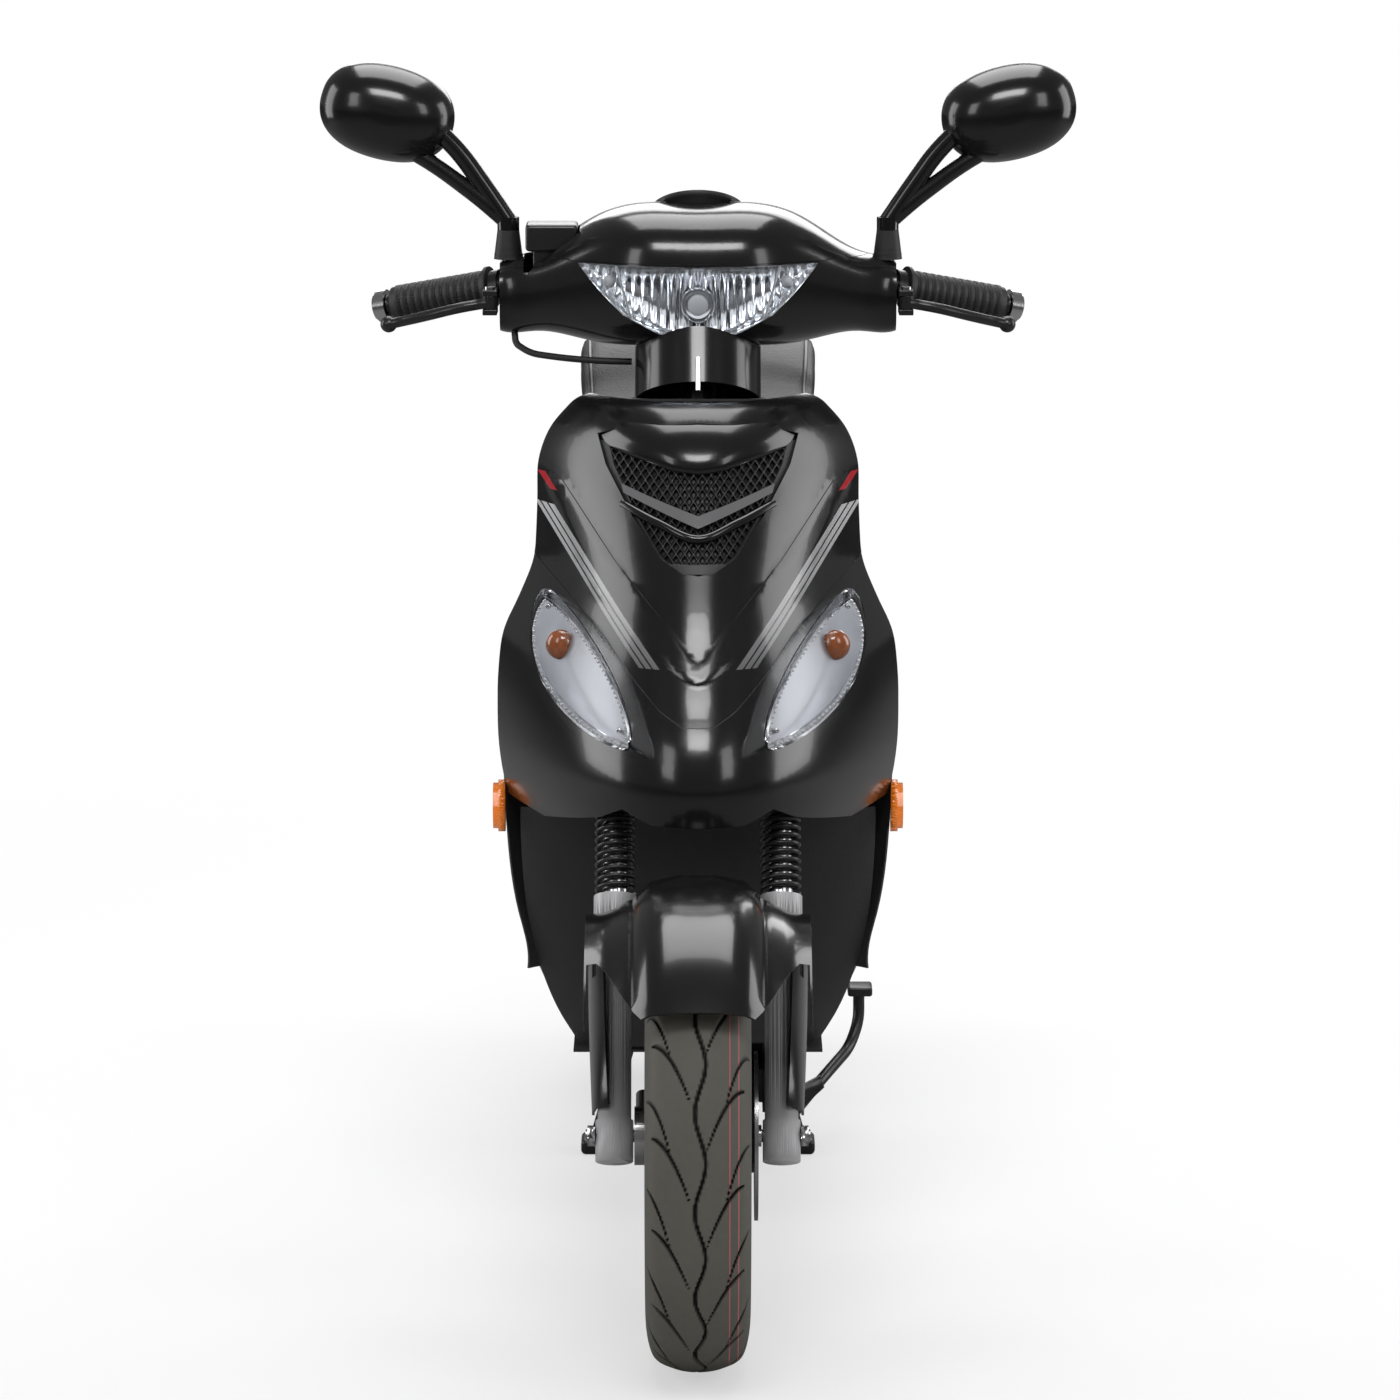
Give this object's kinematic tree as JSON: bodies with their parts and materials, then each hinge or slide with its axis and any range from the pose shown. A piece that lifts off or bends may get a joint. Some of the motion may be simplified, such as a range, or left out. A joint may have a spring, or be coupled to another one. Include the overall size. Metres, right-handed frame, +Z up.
{
  "type": "moped scooter",
  "caption": "Step-through moped scooter with sprung steering fork, swinging power unit, lifting seat and centre stand, standing on its front wheel and stand.",
  "frame": {"origin": "on the ground, under the middle of the scooter's bounding box", "axes": "+Z up, +Y towards the rear, +X towards the rider's left"},
  "size_m": [0.7254, 1.747, 1.1735],
  "materials": {
    "gloss_black": "high gloss black moulded panels",
    "satin_black": "grained black plastic",
    "black_paint": "satin black paint on steel",
    "fork_grey": "silver grey painted alloy",
    "cast_alloy": "as-cast aluminium",
    "bright_steel": "ground and plated steel",
    "chrome_trim": "bright trim over a black mesh",
    "tyre_rubber": "tyre rubber, slightly olive",
    "grip_rubber": "ribbed rubber",
    "seat_vinyl": "matte charcoal seat vinyl",
    "lamp_clear": "clear moulded lens over a bright reflector",
    "lamp_red": "red tail lens",
    "reflector_orange": "orange reflex reflector",
    "dial": "dial under a clear cover"
  },
  "bodies": {
    "chassis": {"frame": "black_paint", "frame_bolts": "bright_steel", "front_cover": "gloss_black", "lower_bumper": "gloss_black", "grille_insert": "chrome_trim", "front_signals": "lamp_clear", "side_reflectors": "reflector_orange", "inner_leg_shield": "satin_black", "electrics": "satin_black", "floorboard": "satin_black", "lower_panels": "gloss_black", "rear_body_panels": "gloss_black", "storage_bucket": "satin_black", "fuel_tank": "satin_black", "rear_lights": "lamp_red", "rear_mudguard": "satin_black", "rear_rack": "black_paint"},
    "ignition": {"ignition_key": "bright_steel"},
    "seat": {"seat_cushion": "seat_vinyl", "seat_base": "satin_black"},
    "steering": {"steering_stem": "black_paint", "handlebar": "black_paint", "left_grip": "grip_rubber", "bar_controls": "cast_alloy", "headset_front": "gloss_black", "headset_rear": "gloss_black", "headlight": "lamp_clear", "speedometer": "dial", "throttle_cable": "grip_rubber"},
    "throttle": {"throttle_grip": "grip_rubber"},
    "left_lever": {"left_brake_lever": "black_paint"},
    "right_lever": {"right_brake_lever": "black_paint"},
    "start": {"start_button": "satin_black"},
    "horn": {"horn_button": "satin_black"},
    "turn": {"turn_switch": "satin_black"},
    "beam": {"beam_switch": "satin_black"},
    "mirror_left": {"left_mirror": "gloss_black"},
    "mirror_right": {"right_mirror": "gloss_black"},
    "fork_lower": {"fork_sliders": "fork_grey", "fork_springs": "black_paint", "front_axle": "bright_steel", "brake_caliper": "cast_alloy", "front_fender": "gloss_black"},
    "front_wheel": {"front_tyre": "tyre_rubber", "front_rim": "black_paint", "brake_disc": "bright_steel"},
    "power_unit": {"crankcase": "cast_alloy", "cvt_cover": "cast_alloy", "cylinder": "cast_alloy", "intake": "satin_black", "muffler": "black_paint", "crankshaft": "bright_steel", "clutch": "bright_steel"},
    "kickstart": {"kick_lever": "bright_steel"},
    "rear_wheel": {"rear_tyre": "tyre_rubber", "rear_rim": "black_paint"},
    "shock_upper": {"shock_rod": "bright_steel", "shock_spring": "black_paint"},
    "shock_lower": {"shock_body": "cast_alloy"},
    "stand": {"centre_stand": "black_paint"}
  },
  "joints": [
    {"name": "steering_turn", "type": "hinge", "parent": "chassis", "child": "steering", "pos_m": [0, -0.42778, 0.60611], "axis": [0, 0.4384, 0.8988], "range_deg": [-40, 40]},
    {"name": "fork_slide", "type": "slide", "parent": "steering", "child": "fork_lower", "axis": [0, 0.4384, 0.8988], "range_m": [0, 0.035], "stiffness_N_per_m": 15000, "springref_m": -0.04, "deforming": ["fork_springs"]},
    {"name": "front_wheel_spin", "type": "hinge", "parent": "fork_lower", "child": "front_wheel", "pos_m": [0, -0.6565, 0.217], "axis": [1, 0, 0], "continuous": true},
    {"name": "throttle_turn", "type": "hinge", "parent": "steering", "child": "throttle", "pos_m": [-0.193, -0.23961, 0.958], "axis": [-0.9273, 0.3203, -0.1939], "range_deg": [0, 70], "stiffness_Nm_per_rad": 0.6, "springref_deg": -22.92},
    {"name": "left_brake_pull", "type": "hinge", "parent": "steering", "child": "left_lever", "pos_m": [0.199, -0.27961, 0.947], "axis": [0, 0, 1], "range_deg": [0, 9], "stiffness_Nm_per_rad": 3, "springref_deg": -17.19},
    {"name": "right_brake_pull", "type": "hinge", "parent": "steering", "child": "right_lever", "pos_m": [-0.199, -0.27961, 0.947], "axis": [0, 0, -1], "range_deg": [0, 9], "stiffness_Nm_per_rad": 3, "springref_deg": -17.19},
    {"name": "start_press", "type": "slide", "parent": "steering", "child": "start", "axis": [0, -1, 0], "range_m": [0, 0.003], "stiffness_N_per_m": 400, "springref_m": -0.002},
    {"name": "horn_press", "type": "slide", "parent": "steering", "child": "horn", "axis": [0, -1, 0], "range_m": [0, 0.003], "stiffness_N_per_m": 400, "springref_m": -0.002},
    {"name": "turn_switch_slide", "type": "slide", "parent": "steering", "child": "turn", "axis": [1, 0, 0], "range_m": [-0.003, 0.003]},
    {"name": "beam_switch_slide", "type": "slide", "parent": "steering", "child": "beam", "axis": [0, 0, 1], "range_m": [0, 0.003]},
    {"name": "left_mirror_swivel", "type": "hinge", "parent": "steering", "child": "mirror_left", "pos_m": [0.182, -0.24261, 0.975], "axis": [0, 0, 1], "range_deg": [-25, 25]},
    {"name": "right_mirror_swivel", "type": "hinge", "parent": "steering", "child": "mirror_right", "pos_m": [-0.182, -0.24261, 0.975], "axis": [0, 0, 1], "range_deg": [-25, 25]},
    {"name": "key_turn", "type": "hinge", "parent": "chassis", "child": "ignition", "pos_m": [0.078, -0.2445, 0.777], "axis": [0, 1, 0], "range_deg": [0, 90]},
    {"name": "seat_lift", "type": "hinge", "parent": "chassis", "child": "seat", "pos_m": [0, 0.1065, 0.73], "axis": [1, 0, 0], "range_deg": [0, 72]},
    {"name": "power_unit_swing", "type": "hinge", "parent": "chassis", "child": "power_unit", "pos_m": [0, 0.1985, 0.345], "axis": [1, 0, 0], "range_deg": [0, 6], "stiffness_Nm_per_rad": 2500, "springref_deg": -6.88},
    {"name": "rear_wheel_spin", "type": "hinge", "parent": "power_unit", "child": "rear_wheel", "pos_m": [0, 0.5835, 0.232], "axis": [1, 0, 0], "continuous": true},
    {"name": "kick_start", "type": "hinge", "parent": "power_unit", "child": "kickstart", "pos_m": [0.1, 0.4035, 0.24], "axis": [1, 0, 0], "range_deg": [0, 38], "stiffness_Nm_per_rad": 4, "springref_deg": -22.92},
    {"name": "centre_stand_swing", "type": "hinge", "parent": "power_unit", "child": "stand", "pos_m": [0, 0.2455, 0.17], "axis": [1, 0, 0], "range_deg": [0, 78]},
    {"name": "shock_tilt", "type": "hinge", "parent": "chassis", "child": "shock_upper", "pos_m": [0.092, 0.5785, 0.607], "axis": [1, 0, 0], "range_deg": [0, 1.81]},
    {"name": "shock_stroke", "type": "slide", "parent": "shock_upper", "child": "shock_lower", "axis": [0, -0.16, 0.9871], "range_m": [0, 0.04488], "deforming": ["shock_spring"]}
  ],
  "couplings": [
    {"joint": "shock_tilt", "follows": "power_unit_swing", "ratio": 0.29614},
    {"joint": "shock_stroke", "follows": "power_unit_swing", "m_per_rad": 0.42013}
  ]
}
